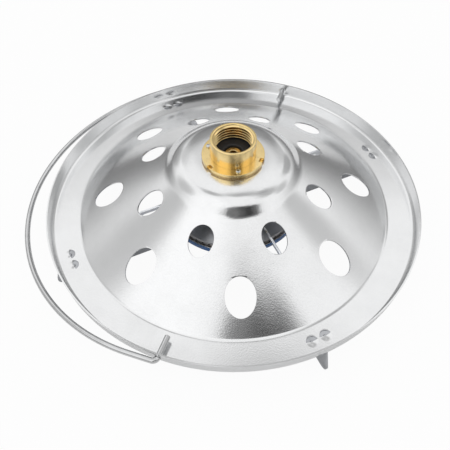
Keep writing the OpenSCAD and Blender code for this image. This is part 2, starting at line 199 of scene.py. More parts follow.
class DishSizes(PropertyGroup):
    """The pressed dish, from its hub out to its rim."""
    rim_r: measured("Rim radius", reach("dish"), "Outside of the rim")
    under_z: measured("Flange underside", foot("dish"), "Height of the flange over the pan rests")
    hub_top: measured("Hub top", top("dish"), "Height of the hub's upper face")
    sheet: length("Sheet", 0.8, "Thickness of the sheet steel")
    edge: length("Cut edge", 0.13, "Softening of the cut edges")
    flange_w: length("Flange width", 17.4, "Flat ring between the cone and the rim")
    rim_h: length("Rim height", 9.4, "Height of the rim over the flange's underside")
    rim_flare: length("Rim flare", 0.8, "How far the rim leans out over its height")
    hub_r: length("Hub radius", 38.2, "Crease between the hub and the cone")
    hub_rise: length("Hub rise", 7.1, "Height of the hub over its crease")
    hub_seat_r: length("Hub seat", 23, "Middle of the bend round the inlet's level seat")
    hub_seat_round: length("Seat bend", 45, "Rounding of the seat's edge")
    hub_fall: length("Hub fall", 1.4, "Fall of the hub from its seat to its shoulder")
    hub_side: angle("Hub side", 41, "Slope of the hub's side")
    hub_round: length("Hub shoulder", 14, "Rounding of the hub's shoulder")
    hub_hole_r: length("Hub hole", 12.8, "Radius of the hole for the inlet collar")
    foot_round: length("Foot rounding", 4, "Rounding of the cone's foot")
    press_r: length("Rim rounding", 1.8, "Rounding of the rim's foot")
    vent_count: count("Vents", 8, "Vents in each of the two rings")
    inner_vent_r: length("Inner vent ring", 50.7, "Radius of the ring of inner vents")
    inner_vent_w: length("Inner vent width", 13.6, "Width of an inner vent")
    outer_vent_r: length("Outer vent ring", 73.8, "Radius of the ring of outer vents")
    outer_vent_w: length("Outer vent width", 16.6, "Width of an outer vent")
    vent_slant: angle("Vent slant", 39.2, "Angle between the punch and the cone's face")
    vent_border_r: length("Border between vents", 61.5, "Radius between the two rings of vents")
    button_ring_r: length("Button ring", 101, "Radius of the ring of clinch buttons")
    button_r: length("Button radius", 3.3, "Radius of a clinch button")
    button_h: length("Button height", 0.3, "Height of a clinch button")
    pivot_z: length("Pivot height", 21.2, "Height of the handle's pivot holes")
    pivot_hole_r: length("Pivot hole", 1.85, "Radius of a pivot hole in the rim")


class SupportSizes(PropertyGroup):
    """The four folded pot supports."""
    leaf: length("Leaf", 0.6, "Thickness of one leaf of the folded sheet")
    edge: length("Cut edge", 0.1, "Softening of the cut edges")
    seam: length("Seam", 0.05, "Softening of the seam between the two leaves")
    fold_r: length("Fold", 0.45, "Rounding of the fold along the pan rest")
    reach_r: length("Reach", 113.4, "Outer end of a pan rest")
    inner_r: length("Inner end", 45, "Inner end of a pan rest, clear of the burner")
    rest_z: length("Rest height", 18, "Height of the support beside the burner, up to its notch")
    finger_r: length("Finger reach", 38.5, "Inner end of the finger over the burner")
    finger_z: length("Finger underside", 34.3, "Height of the finger's underside")
    finger_round: length("Finger tip", 0.7, "Rounding of the finger's tip")
    crown_z: measured("Crown", top("pot_support_1"), "Height of the support's top")
    crown_r: length("Crown reach", 56.86, "Radius at which the top meets the slope")
    shelf_z: measured("Shelf", foot("dish"), "Height of the shelf under the flange")
    shelf_r: length("Shelf start", 91.78, "Radius at which the slope meets the shelf")
    shelf_end: length("Shelf end", 108.4, "Outer end of the shelf")
    corner_r: length("Outer corner", 4, "Rounding of the outer corner")
    bend_r: length("Other corners", 1.8, "Rounding of the other corners")
    tab_l: length("Tab length", 14, "Length of a tab along the support")
    tab_w: length("Tab width", 8, "Reach of a tab from the support's middle")
    peg_at: length("Peg place", 3.95, "Distance of a peg from the support's middle")
    peg_r: length("Peg radius", 1.3, "Radius of the peg pressed up from a tab")
    peg_h: length("Peg height", 0.7, "Height of the peg pressed up from a tab")


class HandleSizes(PropertyGroup):
    """The wire handle, before it sags."""
    wire_r: length("Wire radius", 1.5, "Radius of the wire")
    arm_y: length("Arm place", 111.9, "Distance of an arm's middle from the centre")
    arm_l: length("Arm length", 15, "Straight length of an arm before the round")
    leg_end: length("Leg end", 97.4, "Distance of a leg's tip from the centre")
    bend_r: length("Leg bend", 2.5, "Radius of the bend between leg and arm")
    tip: length("Tip", 0.5, "Rounding of the cut tip")
    sag: angle("Sag", 4.5, "Fall of the handle below level")


class InletSizes(PropertyGroup):
    """The brass inlet, from its mouth down to the jet."""
    mouth_z: measured("Mouth", top("inlet_collar"), "Height of the collar's mouth")
    spigot_z: measured("Spigot foot", foot("inlet_collar"), "Height of the spigot's lower end")
    collar_r: length("Collar radius", 12.75, "Outside of the collar")
    bore_r: length("Bore radius", 10.9, "Bore at the bottom of the thread")
    crest_r: length("Thread crest", 9.95, "Radius of the thread's crest")
    pitch: length("Thread pitch", 1.814, "Rise of the thread in one turn")
    thread_turns: amount("Thread turns", 4.5, "Turns of the left-hand thread")
    crest_w: length("Crest width", 0.5, "Width of the thread's crest")
    lip: length("Mouth rounding", 0.6, "Rounding of the mouth's edges")
    seal_top: measured("Seal top", top("inlet_seal"), "Height of the seal's upper face")
    seat_z: measured("Seal seat", foot("inlet_seal"), "Height of the seal's seat")
    seal_r: length("Seal radius", 11.25, "Outside of the seal")
    seal_hole_r: length("Seal hole", 4.8, "Radius of the hole in the seal")
    seal_lip: length("Seal lip", 1.05, "Rounding of the seal's inner lip")
    spigot_r: length("Spigot radius", 9, "Outside of the spigot")
    stem_r: length("Stem hole", 4.05, "Radius of the hole for the jet sleeve")
    hex_w: length("Hexagon", 32, "Width of the collar's hexagon across its flats")
    hex_h: length("Hexagon height", 3, "Height of the collar's hexagon")
    washer_r: measured("Washer radius", reach("collar_washer"), "Outside of the washer")
    washer_z: measured("Washer top", top("collar_washer"), "Height of the washer's upper face")
    nut_r: length("Ring nut radius", 17.5, "Outside of the ring nut")
    nut_z: measured("Ring nut top", top("ring_nut"), "Height of the ring nut's upper face")
    notch_count: count("Notches", 3, "Spanner notches in the ring nut")
    notch_w: length("Notch width", 3, "Width of a spanner notch")
    notch_depth: length("Notch depth", 2.2, "Depth of a spanner notch")
    edge: length("Turned edges", 0.3, "Softening of the turned edges")
    pin_r: length("Pin radius", 1.4, "Radius of a lock screw")
    pin_z: measured("Pin top", top("lock_screws"), "Height of a lock screw's end")
    pin_ring_r: length("Pin ring", 14.55, "Radius of the ring of lock screws")
    sleeve_r: length("Sleeve radius", 4, "Outside of the jet sleeve")
    sleeve_head_r: length("Sleeve head", 4.45, "Radius of the jet sleeve's head")
    sleeve_top: measured("Sleeve top", top("jet_holder"), "Height of the jet sleeve's head")
    passage_r: length("Gas passage", 2, "Radius of the gas passage")
    socket_r: length("Jet socket", 2.55, "Radius of the socket for the jet")
    socket_l: length("Socket length", 4, "Depth of the socket for the jet")
    jet_tip: measured("Jet tip", foot("gas_jet"), "Height of the jet's tip")
    jet_top: measured("Jet top", top("gas_jet"), "Height of the jet's upper end")
    jet_hex_w: length("Jet hexagon", 6.4, "Width of the jet's hexagon across its flats")
    jet_hex_h: length("Jet hexagon height", 2, "Height of the jet's hexagon")
    jet_tip_r: length("Jet nose", 1.1, "Radius of the jet's tip")
    jet_nose_r: length("Jet nose foot", 2.6, "Radius of the nose at the hexagon")
    jet_thread_r: length("Jet thread", 2.5, "Radius of the jet's thread")
    jet_bore_r: length("Jet bore", 1.4, "Radius of the bore behind the fine hole")
    jet_hole_r: length("Jet hole", 0.3, "Radius of the fine hole")


class BurnerSizes(PropertyGroup):
    """The mixing tube, the bowl with its ports, and the crimped cap."""
    sheet: length("Sheet", 0.8, "Thickness of the bowl and the cap")
    edge: length("Cut edge", 0.1, "Softening of the cut edges")
    press_r: length("Pressed corners", 1.8, "Rounding of the pressed corners")
    tube_r: measured("Tube radius", reach("mixing_tube"), "Outside of the mixing tube")
    tube_wall: length("Tube wall", 1, "Wall of the mixing tube")
    tube_end: measured("Tube end", foot("mixing_tube"), "Height of the tube's lower end")
    tube_top: measured("Tube top", top("mixing_tube"), "Height of the tube's upper end")
    air_holes: count("Air holes", 4, "Air holes in the mixing tube")
    air_hole_r: length("Air hole", 2.8, "Radius of an air hole")
    air_hole_z: length("Air hole height", 40.43, "Height of the air holes")
    neck_r: length("Neck radius", 10.9, "Outside of the bowl's neck")
    neck_top: measured("Neck top", top("burner_bowl"), "Height of the neck's upper end")
    neck_foot: length("Neck foot", 34.6, "Height at which the neck meets the bowl")
    shoulder_r: length("Bowl shoulder", 28, "Radius of the bowl's shoulder")
    shoulder_z: length("Shoulder height", 32.4, "Height of the bowl's shoulder")
    shoulder_round: length("Shoulder rounding", 12, "Rounding of the bowl's shoulder")
    wall_r: length("Port wall", 40.1, "Outside of the wall with the ports")
    wall_top: length("Port wall top", 25.6, "Height of the port wall's upper corner")
    wall_round: length("Port wall rounding", 1, "Rounding over the port wall")
    lip_z: length("Lip", 22.2, "Height of the lip's upper face")
    lip_r: length("Lip radius", 40.85, "Outside of the lip")
    ports: count("Ports", 64, "Flame ports in the port wall")
    port_r: length("Port radius", 0.7, "Radius of a port")
    port_z: length("Port height", 23.9, "Height of the ports")
    cap_r: length("Crimp radius", 41.7, "Outside of the crimped edge")
    cap_z: measured("Cap foot", foot("burner_cap"), "Height of the cap's middle")
    cap_seat_z: length("Cap seat", 19.8, "Height of the cap's underside at the crimp")
    cap_seat_r: length("Cap seat start", 37.7, "Radius at which the seat starts")
    cap_slope_r: length("Cap slope start", 32.9, "Radius at which the slope starts")
    crimp_z: measured("Crimp top", top("burner_cap"), "Height of the crimped edge")
    crimp_in_r: length("Crimp edge", 40.3, "Inner edge of the crimp")
    crimp_round: length("Crimp rounding", 0.9, "Rounding of the crimped edge")


class FinishColours(PropertyGroup):
    """Base colours of the finishes."""
    dish_steel: colour("Satin steel", (0.83, 0.835, 0.84), "Rolled steel of the dish")
    support_steel: colour("Support steel", (0.50, 0.51, 0.53), "Bright sheet of the supports")
    handle_wire: colour("Drawn wire", (0.66, 0.665, 0.67), "Bright wire of the handle")
    brass: colour("Brass", (0.96, 0.74, 0.36), "Freshly turned brass")
    # This brown also paints the shade down the passage and along the brass seams
    tarnish: colour("Tarnish", (0.26, 0.13, 0.035), "Brown tarnish on the brass")
    zinc: colour("Zinc", (0.76, 0.78, 0.79), "Plated lock screws")
    rubber: colour("Rubber", (0.022, 0.022, 0.024), "Seal in the inlet")
    burner_steel: colour("Burner steel", (0.48, 0.49, 0.51), "Dark pressed steel of the burner")
    heat_tint: colour("Heat tint", (0.30, 0.26, 0.22), "Brown tint by the ports")
    enamel: colour("Enamel", (0.01, 0.14, 0.44), "Blue enamel of the cap")
    crimp_steel: colour("Crimp steel", (0.62, 0.61, 0.60), "Bare edge of the crimped cap")
    floor: colour("Floor", (0.9, 0.9, 0.9), "Pale floor")


class StageSizes(PropertyGroup):
    """The camera and the floor."""
    camera_place: FloatVectorProperty(name="Camera", description="Place of the camera", subtype="TRANSLATION",
                                      default=(0.06802, -0.19599, 0.25958), precision=5)
    camera_aim: FloatVectorProperty(name="Aim", description="Point that the camera looks at", precision=5,
                                    subtype="TRANSLATION", default=(-0.002923, -0.006349, 0))
    camera_roll: angle("Roll", -0.696, "Turn of the camera about its own line of sight")
    focal_mm: amount("Focal length", 41.58, "Focal length on a sensor of 36 mm")
    floor_r: length("Floor radius", 4000, "Radius of the floor")


class BurnerSettings(PropertyGroup):
    """Everything that a user would change."""
    dish: PointerProperty(type=DishSizes)
    support: PointerProperty(type=SupportSizes)
    handle: PointerProperty(type=HandleSizes)
    inlet: PointerProperty(type=InletSizes)
    burner: PointerProperty(type=BurnerSizes)
    colours: PointerProperty(type=FinishColours)
    stage: PointerProperty(type=StageSizes)


# Mesh building

def wire(corners, closed=False):
    """A new mesh with a wire in the XZ plane, through corners of (radius, height, rounding)."""
    bm = bmesh.new()
    verts = [bm.verts.new((r, 0, z)) for r, z, _ in corners]
    chain = verts + verts[:1] if closed else verts
    for pair in zip(chain, chain[1:]):
        bm.edges.new(pair)
    for vert, (_, _, rounding) in zip(verts, corners):
        if rounding > 0:
            arms = [edge.other_vert(vert).co - vert.co for edge in vert.link_edges]
            turn = pi - arms[0].angle(arms[1])
            bmesh.ops.bevel(bm, geom=[vert], offset=rounding * tan(turn / 2), affect="VERTICES",
                            segments=ROUND_STEPS, profile=0.5, material=-1)
    return bm


def divide(bm, edges):
    """Cuts long edges into steps."""
    for edge in edges:
        cuts = ceil(edge.calc_length() / PROFILE_STEP) - 1
        if cuts > 0:
            bmesh.ops.subdivide_edges(bm, edges=[edge], cuts=cuts)


def ends_of(edges):
    """The points of some edges, each once and in order."""
    return list(dict.fromkeys(vert for edge in edges for vert in edge.verts))


def edges_of(verts):
    """The edges at some points, each once and in order."""
    return list(dict.fromkeys(edge for vert in verts for edge in vert.link_edges))


def points_in(made):
    """The points among what an operator made."""
    return [item for item in made if isinstance(item, bmesh.types.BMVert)]


def whole(bm):
    return bm.verts[:] + bm.edges[:] + bm.faces[:]


def move(bm, way):
    bmesh.ops.translate(bm, vec=way, verts=bm.verts[:])


def rotate(bm, turn, axis="Z"):
    bmesh.ops.rotate(bm, cent=ORIGIN, matrix=Matrix.Rotation(turn, 3, axis), verts=bm.verts[:])


def draw_out(bm, loop):
    """Draws a loop of edges out, and gives the points and the edges of its new end."""
    made = bmesh.ops.extrude_edge_only(bm, edges=loop)["geom"]
    verts = points_in(made)
    return verts, [item for item in made
                   if isinstance(item, bmesh.types.BMEdge) and all(vert in verts for vert in item.verts)]


def spin_round(bm, edges, steps):
    bmesh.ops.spin(bm, geom=ends_of(edges) + list(edges), cent=ORIGIN, axis=AXIS, angle=2 * pi, steps=steps,
                   use_merge=True)


def close_seams(bm):
    bmesh.ops.remove_doubles(bm, verts=bm.verts[:], dist=MERGE)
    loose = [edge for edge in bm.edges if edge.is_wire]
    bmesh.ops.delete(bm, geom=loose, context="EDGES")
    bmesh.ops.recalc_face_normals(bm, faces=bm.faces[:])


def add_mirrored(bm):
    """Adds the other half of a mesh that ends at the XZ plane."""
    bmesh.ops.mirror(bm, geom=whole(bm), axis="Y", merge_dist=MERGE)
    close_seams(bm)


def lathe(corners, steps=TURNED_STEPS):
    """A closed profile turned round the axis."""
    bm = wire(corners, closed=True)
    divide(bm, bm.edges[:])
    spin_round(bm, bm.edges[:], steps)
    close_seams(bm)
    return bm


def add(bm, other):
    """Moves all of another mesh into this one."""
    carrier = bpy.data.meshes.new("carrier")
    other.to_mesh(carrier)
    other.free()
    bm.from_mesh(carrier)
    bpy.data.meshes.remove(carrier)


def soften(bm, offset, segments=2, chosen=None):
    """Rounds the sharp edges, or those of them that are chosen."""
    sharp = [edge for edge in bm.edges
             if len(edge.link_faces) == 2 and edge.calc_face_angle() > SOFTEN_ABOVE
             and (not chosen or chosen(edge))]
    bmesh.ops.bevel(bm, geom=sharp, offset=offset, affect="EDGES", segments=segments, profile=0.5, material=-1,
                    clamp_overlap=True)


def thicken(bm, thickness, face_way, edge):
    """Gives a sheet its thickness, behind the side that faces the given way, and softens its cut edges."""
    close_seams(bm)
    facing = sum(face.calc_area() * face.normal.dot(face_way(face.calc_center_median())) for face in bm.faces)
    if facing < 0:
        bmesh.ops.reverse_faces(bm, faces=bm.faces[:])
    bmesh.ops.solidify(bm, geom=bm.faces[:], thickness=thickness)
    soften(bm, edge)


def upwards(place):
    return AXIS


def downwards(place):
    return -AXIS


def outwards(place):
    return Vector((place.x, place.y, 0))


def grid_cell(width, height, columns, rows):
    """A flat cell that stands on the middle of its lower side."""
    bm = bmesh.new()
    bmesh.ops.create_grid(bm, x_segments=columns, y_segments=rows, size=0.5)
    bmesh.ops.scale(bm, vec=(width, height, 1), verts=bm.verts[:])
    move(bm, (0, height / 2, 0))
    return bm


def holed_cell(width, height, columns, rows, hole, spread):
    """A flat cell with a hole of (width, height, height of its middle), bridged to the cell's sides.

    Spread gives the factor that the hole is widened by at a height, so that it is true when wrapped."""
    hole_w, hole_h, hole_y = hole
    bm = grid_cell(width, height, 1, 1)
    bmesh.ops.delete(bm, geom=bm.faces[:], context="FACES_ONLY")
    level = [edge for edge in bm.edges if abs(edge.verts[0].co.y - edge.verts[1].co.y) < MERGE]
    upright = [edge for edge in bm.edges if edge not in level]
    bmesh.ops.subdivide_edges(bm, edges=level, cuts=columns - 1)
    bmesh.ops.subdivide_edges(bm, edges=upright, cuts=rows - 1)
    circle = bmesh.ops.create_circle(bm, segments=2 * (columns + rows), radius=0.5)["verts"]
    bmesh.ops.scale(bm, vec=(hole_w, hole_h, 1), verts=circle)
    bmesh.ops.translate(bm, vec=(0, hole_y, 0), verts=circle)
    for vert in circle:
        vert.co.x *= spread(vert.co.y)
    spokes = bmesh.ops.bridge_loops(bm, edges=bm.edges[:])["edges"]
    bmesh.ops.subdivide_edges(bm, edges=spokes, cuts=SPOKE_CUTS)
    return bm


def raise_crown(bm, hole, profile):
    """Closes the hole of a flat cell with a crown, drawn in along (share of the hole, height) steps."""
    hole_w, hole_h, hole_y = hole
    middle = Vector((0, hole_y, 0))
    limit = max(hole_w, hole_h) / 2 + MERGE
    loop = [edge for edge in bm.edges
            if edge.is_boundary and all((vert.co - middle).length < limit for vert in edge.verts)]
    before = 1
    for share, height in profile:
        verts, loop = draw_out(bm, loop)
        scale = share / before
        bmesh.ops.scale(bm, vec=(scale, scale, 1), verts=verts, space=Matrix.Translation(-middle))
        for vert in verts:
            vert.co.z = height
        before = share
    bmesh.ops.edgeloop_fill(bm, edges=loop)


def wrap(cell, start, end, turn):
    """Wraps a flat cell round the axis, between two circles given as (radius, height)."""
    slope = Vector(end) - Vector(start)
    rise = Vector((-slope.y, slope.x)).normalized()
    middle_r = (start[0] + end[0]) / 2
    for vert in cell.verts:
        at = Vector(start) + slope * (vert.co.y / slope.length) + rise * vert.co.z
        way = turn + vert.co.x / middle_r
        vert.co = (at.x * cos(way), at.x * sin(way), at.y)


def ring_of_cells(bm, start, end, cells, first, columns, rows, hole, holed=None, crown=None):
    """A ring of sheet between two circles, in equal cells, all or some of them with a hole or a crown."""
    height = (Vector(end) - Vector(start)).length
    middle_r = (start[0] + end[0]) / 2
    width = 2 * pi * middle_r / cells

    def spread(y):
        return middle_r / (start[0] + (end[0] - start[0]) * y / height)

    for index in range(cells):
        if holed and not holed(index):
            cell = grid_cell(width, height, columns, rows)
        else:
            cell = holed_cell(width, height, columns, rows, hole, spread)
            if crown:
                raise_crown(cell, hole, crown)
        wrap(cell, start, end, first + 2 * pi * index / cells)
        add(bm, cell)


def edge_at(bm, r, z):
    """The edge of a profile that passes nearest to a point."""
    point = Vector((r, 0, z))

    def gap(edge):
        start, end = (vert.co for vert in edge.verts)
        share = (point - start).dot(end - start) / (end - start).length_squared
        return (start.lerp(end, min(max(share, 0), 1)) - point).length

    return min(bm.edges, key=gap)


def circles_of(edge):
    """The two circles that an edge's ends run along, as (radius, height), the smaller or lower one first."""
    return sorted((vert.co.x, vert.co.z) for vert in edge.verts)


def spin_all_but(bm, left_out, steps):
    """Turns a profile round the axis, apart from the edges that cells take the place of."""
    divide(bm, [edge for edge in bm.edges if edge not in left_out])
    spin_round(bm, [edge for edge in bm.edges if edge not in left_out], steps)


def fill_in(bm):
    """Closes the open ends of a mesh."""
    bmesh.ops.holes_fill(bm, edges=[edge for edge in bm.edges if edge.is_boundary], sides=0)


def plate(bm, way):
    """Draws a flat sheet out into a solid plate."""
    drawn = bmesh.ops.extrude_face_region(bm, geom=bm.faces[:])["geom"]
    bmesh.ops.translate(bm, vec=way, verts=points_in(drawn))
    bmesh.ops.recalc_face_normals(bm, faces=bm.faces[:])


def circle_edges(bm, segments, radius):
    """The edges of a new circle whose first point lies on the X axis."""
    made = bmesh.ops.create_circle(bm, segments=segments, radius=radius, matrix=Matrix.Rotation(-pi / 2, 4, "Z"))
    return edges_of(made["verts"])


def hexagon(width, hole_r, foot_z, height, edge):
    """A hexagonal plate with a round hole."""
    bm = bmesh.new()
    outer = circle_edges(bm, 6, width / 2 / cos(pi / 6))
    bmesh.ops.subdivide_edges(bm, edges=outer, cuts=HEX_CUTS)
    circle_edges(bm, 6 * (HEX_CUTS + 1), hole_r)
    bmesh.ops.bridge_loops(bm, edges=bm.edges[:])
    plate(bm, AXIS * height)
    soften(bm, edge)
    move(bm, AXIS * foot_z)
    return bm


def make_piece(bm, name, finish, nodes, body="burner"):
    """Turns a mesh into a piece that stands in for its nodes and hides them, rides on a body and takes its
    finish's material.
    """
    mesh = bpy.data.meshes.new(name)
    bm.to_mesh(mesh)
    bm.free()
    mesh.shade_smooth()
    mesh.set_sharp_from_angle(angle=SHARP_ABOVE)
    mesh.materials.append(finish_for(finish))
    piece = bpy.data.objects.new(name, mesh)
    bpy.context.scene.collection.objects.link(piece)
    piece.modifiers.new("even_shading", "WEIGHTED_NORMAL").keep_sharp = True
    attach(piece, body)
    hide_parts(*nodes)


# Finishes

class Socket:
    """A shader socket that adds Math nodes when it takes part in an expression."""

    def __init__(self, nodes, socket):
        self.nodes = nodes
        self.socket = socket

    def maths(self, operation, first, second):
        return self.nodes.add("ShaderNodeMath", {"operation": operation}, {0: first, 1: second})

    def __add__(self, other):
        return self.maths("ADD", self, other)

    def __radd__(self, other):
        return self.maths("ADD", other, self)

    def __sub__(self, other):
        return self.maths("SUBTRACT", self, other)

    def __rsub__(self, other):
        return self.maths("SUBTRACT", other, self)

    def __mul__(self, other):
        return self.maths("MULTIPLY", self, other)


class Nodes:
    """A node tree and the few kinds of node that the finishes are made of."""

    def __init__(self, tree):
        self.tree = tree

    def feed(self, socket, value):
        if isinstance(value, Socket):
            self.tree.links.new(value.socket, socket)
        else:
            socket.default_value = value

    def add(self, kind, settings=None, sockets=None, output=0):
        node = self.tree.nodes.new(kind)
        for name, value in (settings or {}).items():
            setattr(node, name, value)
        for key, value in (sockets or {}).items():
            self.feed(node.inputs[key], value)
        return Socket(self, node.outputs[output])

    def step(self, value, low, high):
        """0 below the low value, 1 above the high one, and smooth between them."""
        return self.add("ShaderNodeMapRange", {"interpolation_type": "SMOOTHSTEP"},
                        {"Value": value, "From Min": low, "From Max": high})

    def mix(self, share, first, second):
        """A colour between two colours."""
        return self.add("ShaderNodeMix", {"data_type": "RGBA"}, {0: share, 6: first, 7: second}, 2)

    def parts(self, vector):
        """The three numbers of a vector."""
        first = self.add("ShaderNodeSeparateXYZ", None, {"Vector": vector})
        return [Socket(self, output) for output in first.socket.node.outputs]


class Finish(Nodes):
    """A material with one shader, patterned in the part's own coordinates."""

    def __init__(self, name):
        self.material = bpy.data.materials.new(name)
        self.material.use_nodes = True
        super().__init__(self.material.node_tree)
        self.shader = self.tree.nodes["Principled BSDF"]
        self.place = self.add("ShaderNodeTexCoord", output="Object")

    def noise(self, size, detail, roughness, stretch=None, place=None):
        """Soft noise with spots of about the given size."""
        place = place or self.place
        if stretch:
            place = self.add("ShaderNodeMapping", None, {"Vector": place, "Scale": stretch})
        return self.add("ShaderNodeTexNoise", None, {"Vector": place, "Scale": 1 / size, "Detail": detail,
                                                     "Roughness": roughness})

    def bump(self, height, distance):
        return self.add("ShaderNodeBump", None, {"Height": height, "Distance": distance})

    def radius(self):
        """Distance from the hub axis."""
        x, y, _ = self.parts(self.place)
        flat = self.add("ShaderNodeCombineXYZ", None, {"X": x, "Y": y})
        return self.add("ShaderNodeVectorMath", {"operation": "LENGTH"}, {0: flat}, "Value")

    def surface(self, sockets):
        for name, value in sockets.items():
            self.feed(self.shader.inputs[name], value)
        return self.material


def shade(rgb, factor):
    """A darker or lighter colour."""
    return (*(min(part * factor, 1) for part in rgb[:3]), 1)


def satin_steel(colours):
    """Rolled sheet with a fine grain, soft smudges and a few short scratches, rubbed duller round the inlet."""
    finish = Finish("satin_steel")
    grain = finish.noise(0.35 * MM, 3, 0.6, (1, 0.12, 0.12))
    mottle = finish.noise(0.75 * MM, 0.5, 0.5)
    smudge = finish.noise(22 * MM, 4, 0.6)
    scratch = finish.step(finish.noise(1.2 * MM, 1, 0.5, (0.06, 1, 1)), 0.74, 0.78)
    wear = finish.step(smudge, 0.35, 0.7)
    rubbed = 1 - finish.step(finish.radius(), *INLET_RUB_R)
    tone = finish.mix(wear * 0.3 + mottle * 0.5, shade(colours.dish_steel, 1.05),
                      shade(colours.dish_steel, 0.91))
    return finish.surface({
        "Base Color": tone,
        "Metallic": 1.0,
        "Roughness": 0.12 + wear * 0.02 + mottle * 0.05 + scratch * 0.08 + rubbed * 0.09,
        "Normal": finish.bump(grain * 0.1 + mottle - scratch * 0.3, 0.015 * MM),
    })


def bright_sheet(colours):
    """Bright sheet with an upright grain and faint handling marks, and a painted highlight on the fingers over
    the burner.
    """
    finish = Finish("bright_sheet")
    grain = finish.noise(0.3 * MM, 2, 0.6, (1, 1, 0.1))
    marks = finish.step(finish.noise(9 * MM, 4, 0.65), 0.4, 0.7)
    tone = finish.mix(marks, colours.support_steel, shade(colours.support_steel, 0.84))
    _, _, z = finish.parts(finish.place)
    # Painted highlight: the fingers over the burner are painted lighter than the rest, standing in for the white
    # they reflect
    tone = finish.mix(finish.step(z, *FINGER_HIGHLIGHT_Z), tone, shade(colours.support_steel, 1.7))
    return finish.surface({
        "Base Color": tone,
        "Metallic": 1.0,
        "Roughness": 0.14 + marks * 0.1 + grain * 0.05,
        "Normal": finish.bump(grain, 0.008 * MM),
    })


def drawn_wire(colours):
    """Bright wire with the fine texture of the die and a few dull spots."""
    finish = Finish("drawn_wire")
    texture = finish.noise(0.25 * MM, 2, 0.6)
    dull = finish.step(finish.noise(5 * MM, 3, 0.6), 0.45, 0.7)
    tone = finish.mix(dull, shade(colours.handle_wire, 1.02), shade(colours.handle_wire, 0.93))
    return finish.surface({
        "Base Color": tone,
        "Metallic": 1.0,
        "Roughness": 0.12 + dull * 0.04 + texture * 0.03,
        "Normal": finish.bump(texture, 0.003 * MM),
    })


def aged_brass(colours):
    """Turned brass, faintly tarnished brown, with fine tool rings and small dark specks; darker at the thread's
    root, with painted shade in its seams and passage.
    """
    finish = Finish("aged_brass")
    _, _, z = finish.parts(finish.place)
    radius = finish.radius()
    tool = finish.add("ShaderNodeCombineXYZ", None, {"X": radius, "Z": z})
    rings = finish.noise(0.12 * MM, 2, 0.6, place=tool)
    cloud = finish.step(finish.noise(7 * MM, 5, 0.65), 0.42, 0.72)
    speck = finish.step(finish.noise(0.8 * MM, 2, 0.5), 0.66, 0.73)
    mouth = top("inlet_collar")
    bore = 1 - finish.step(radius, *BORE_R)
    below_mouth = 1 - finish.step(z, mouth - 1.5 * MM, mouth - 1.1 * MM)
    # Darker at the thread's root and the foot of its flanks, below the mouth
    groove = bore * finish.step(radius, *GROOVE_R) * below_mouth
    # Painted shade: the brass within the passage's radius, deep down the inlet, is darkened
    depth = 1 - finish.step(radius, *PASSAGE_SHADE_R)
    stain_and_shade = cloud * 0.03 + groove * 0.8 + depth * 0.25
    # Painted shade: dark bands on the outer edges where the washer meets the hub and the nut meets the washer
    for seam in (top("dish"), top("collar_washer")):
        over = finish.step(z, seam - 0.4 * MM, seam - 0.2 * MM)
        near = over * (1 - finish.step(z, seam + 0.2 * MM, seam + 0.4 * MM))
        stain_and_shade = stain_and_shade + near * finish.step(radius, *SEAM_SHADE_R) * 0.85
    stain_and_shade = finish.add("ShaderNodeMath", {"operation": "MAXIMUM", "use_clamp": True},
                       {0: stain_and_shade, 1: speck * 0.7})
    # The brown mixed in serves the tarnished clouds and specks and also the painted shade
    tone = finish.mix(stain_and_shade, colours.brass, colours.tarnish)
    return finish.surface({
        "Base Color": tone,
        "Metallic": 1.0,
        "Roughness": 0.17 + cloud * 0.06 + rings * 0.05 + speck * 0.2,
        "Normal": finish.bump(rings - speck * 0.5, 0.006 * MM),
    })


def plated_zinc(colours):
    """Bright zinc plating with a faint bloom."""
    finish = Finish("plated_zinc")
    bloom = finish.noise(1.2 * MM, 3, 0.6)
    tone = finish.mix(bloom, shade(colours.zinc, 1.05), shade(colours.zinc, 0.85))
    return finish.surface({"Base Color": tone, "Metallic": 1.0, "Roughness": 0.16 + bloom * 0.12})


def moulded_rubber(colours):
    """Matt black rubber with a fine moulded skin and a little dust."""
    finish = Finish("moulded_rubber")
    skin = finish.noise(0.25 * MM, 3, 0.6)
    dust = finish.step(finish.noise(2.5 * MM, 4, 0.6), 0.5, 0.75)
    tone = finish.mix(dust * 0.5, colours.rubber, shade(colours.rubber, 2.2))
    return finish.surface({
        "Base Color": tone,
        "Roughness": 0.5 + dust * 0.2,
        "Normal": finish.bump(skin, 0.01 * MM),
    })


def heated_steel(colours):
    """Dark pressed steel, browned by heat round the ports."""
    finish = Finish("heated_steel")
    _, _, z = finish.parts(finish.place)
    grain = finish.noise(0.4 * MM, 3, 0.6)
    cloud = finish.noise(6 * MM, 4, 0.6)
    heat = 1 - finish.step(z + cloud * (3 * MM), *HEAT_Z)
    tone = finish.mix(cloud, shade(colours.burner_steel, 1.2), shade(colours.burner_steel, 0.75))
    return finish.surface({
        "Base Color": finish.mix(heat * 0.5, tone, colours.heat_tint),
        "Metallic": 1.0,
        "Roughness": 0.3 + cloud * 0.12 + heat * 0.12,
        "Normal": finish.bump(grain, 0.01 * MM),
    })


def blue_enamel(colours):
    """Glossy blue enamel with a slight orange peel and paler thin spots, rubbed bare on the crimp."""
    finish = Finish("blue_enamel")
    _, _, z = finish.parts(finish.place)
    peel = finish.noise(1.1 * MM, 2, 0.5)
    thin = finish.step(finish.noise(4 * MM, 4, 0.65), 0.55, 0.75)
    bare = finish.step(z + peel * (0.3 * MM), *BARE_Z)
    tone = finish.mix(thin * 0.5, colours.enamel, shade(colours.enamel, 1.7))
    return finish.surface({
        "Base Color": finish.mix(bare, tone, colours.crimp_steel),
        "Metallic": bare,
        "Roughness": 0.25 + thin * 0.1,
        "Coat Weight": 0.8 - bare * 0.8,
        "Coat Roughness": 0.06,
        "Normal": finish.bump(peel, 0.02 * MM),
    })


def finish_for(build):
    """The material that a function makes, made once."""
    return bpy.data.materials.get(build.__name__) or build(bpy.context.scene.gas_burner.colours)


# Pieces

